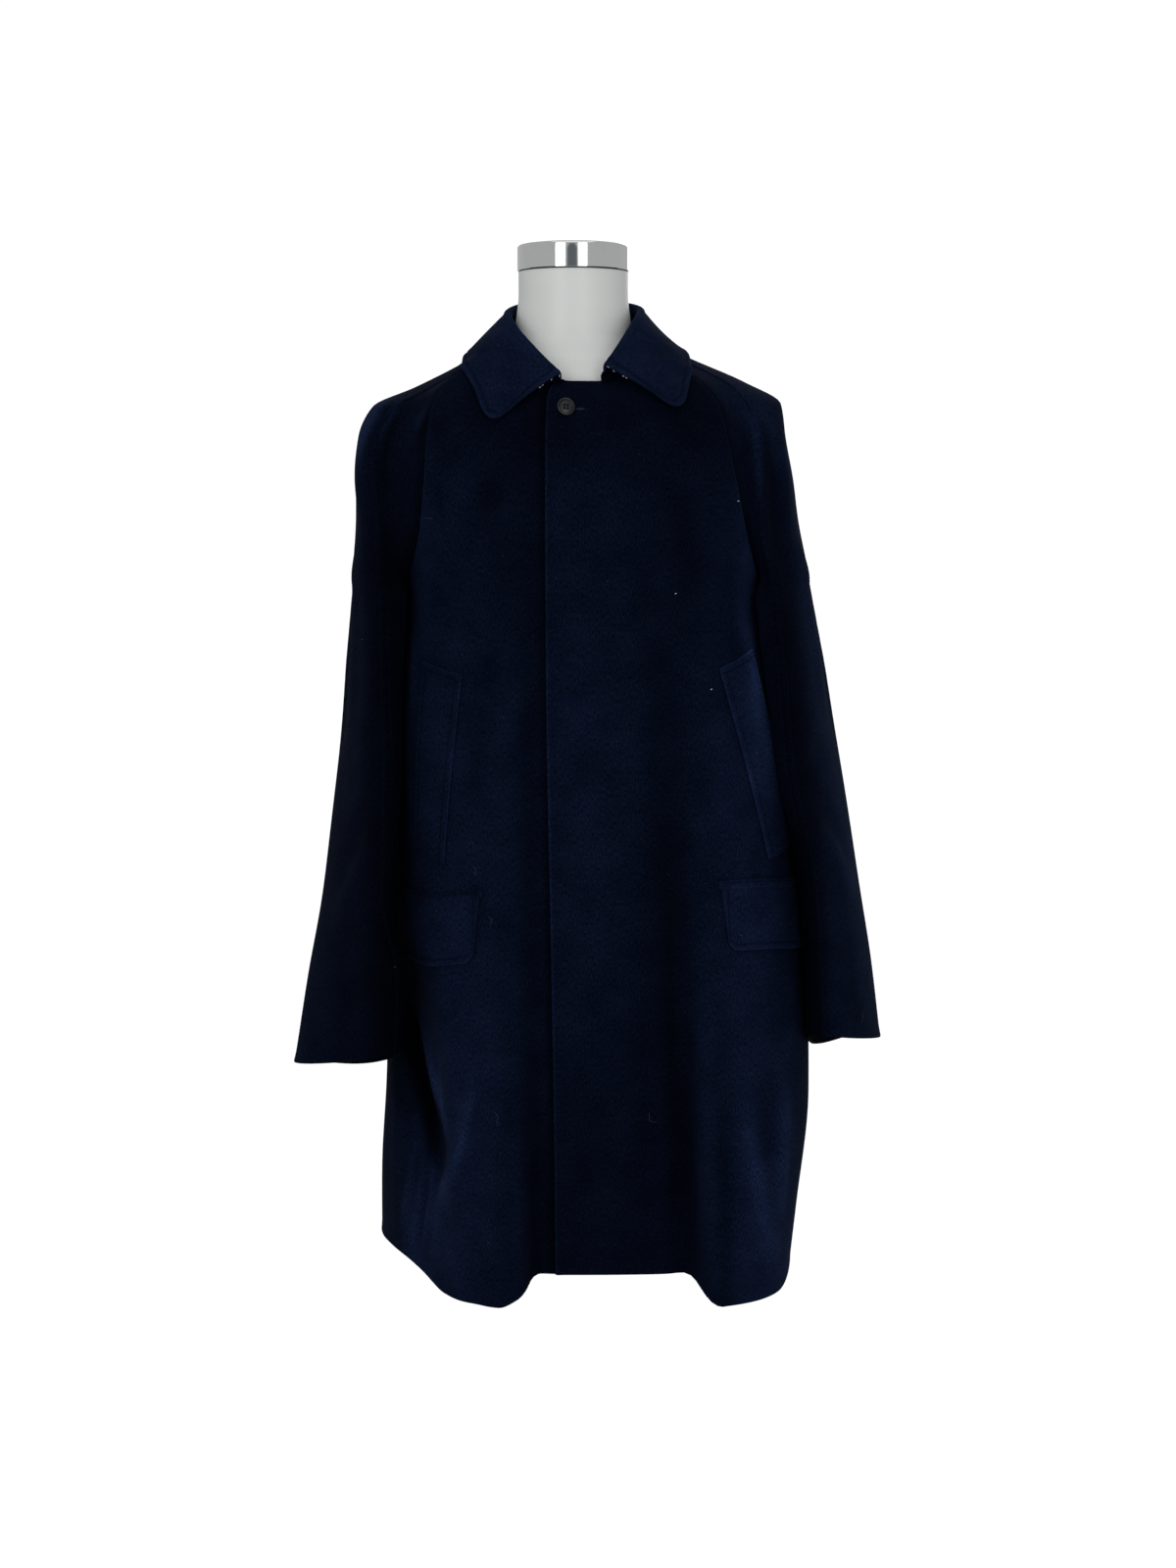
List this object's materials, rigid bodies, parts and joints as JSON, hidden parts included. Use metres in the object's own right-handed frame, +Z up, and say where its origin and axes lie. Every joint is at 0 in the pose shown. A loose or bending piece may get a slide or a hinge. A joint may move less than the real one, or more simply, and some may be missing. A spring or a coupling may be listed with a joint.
{
  "type": "wool overcoat on a dress form",
  "caption": "Men's knee-length raglan overcoat in navy wool with a concealed button front, turned-down collar, slanted welts and flap pockets, worn by a limbless dress form.",
  "frame": {"origin": "on the floor, on the neck's axis, where the dress form's base rests", "axes": "+Z up, +X to the wearer's left, -Y the way the coat faces"},
  "size_m": [0.6686, 0.3379, 1.163],
  "materials": {
    "wool": "felted navy wool, matt with a slight nap",
    "horn": "polished black horn",
    "white_plastic": "glossy white",
    "chrome": "polished",
    "white_paint": "semi-gloss white"
  },
  "bodies": {
    "root": {"back": "wool", "front_left": "wool", "front_right": "wool", "sleeve_left_front": "wool", "sleeve_left_back": "wool", "sleeve_right_front": "wool", "sleeve_right_back": "wool", "collar_stand": "wool", "collar_fall": "wool", "welt_left": "wool", "welt_right": "wool", "jet_left": "wool", "jet_right": "wool", "flap_left": "wool", "flap_right": "wool", "button": "horn", "form_torso": "white_plastic", "form_cap": "chrome", "form_post": "chrome", "form_base": "white_paint"}
  },
  "joints": []
}
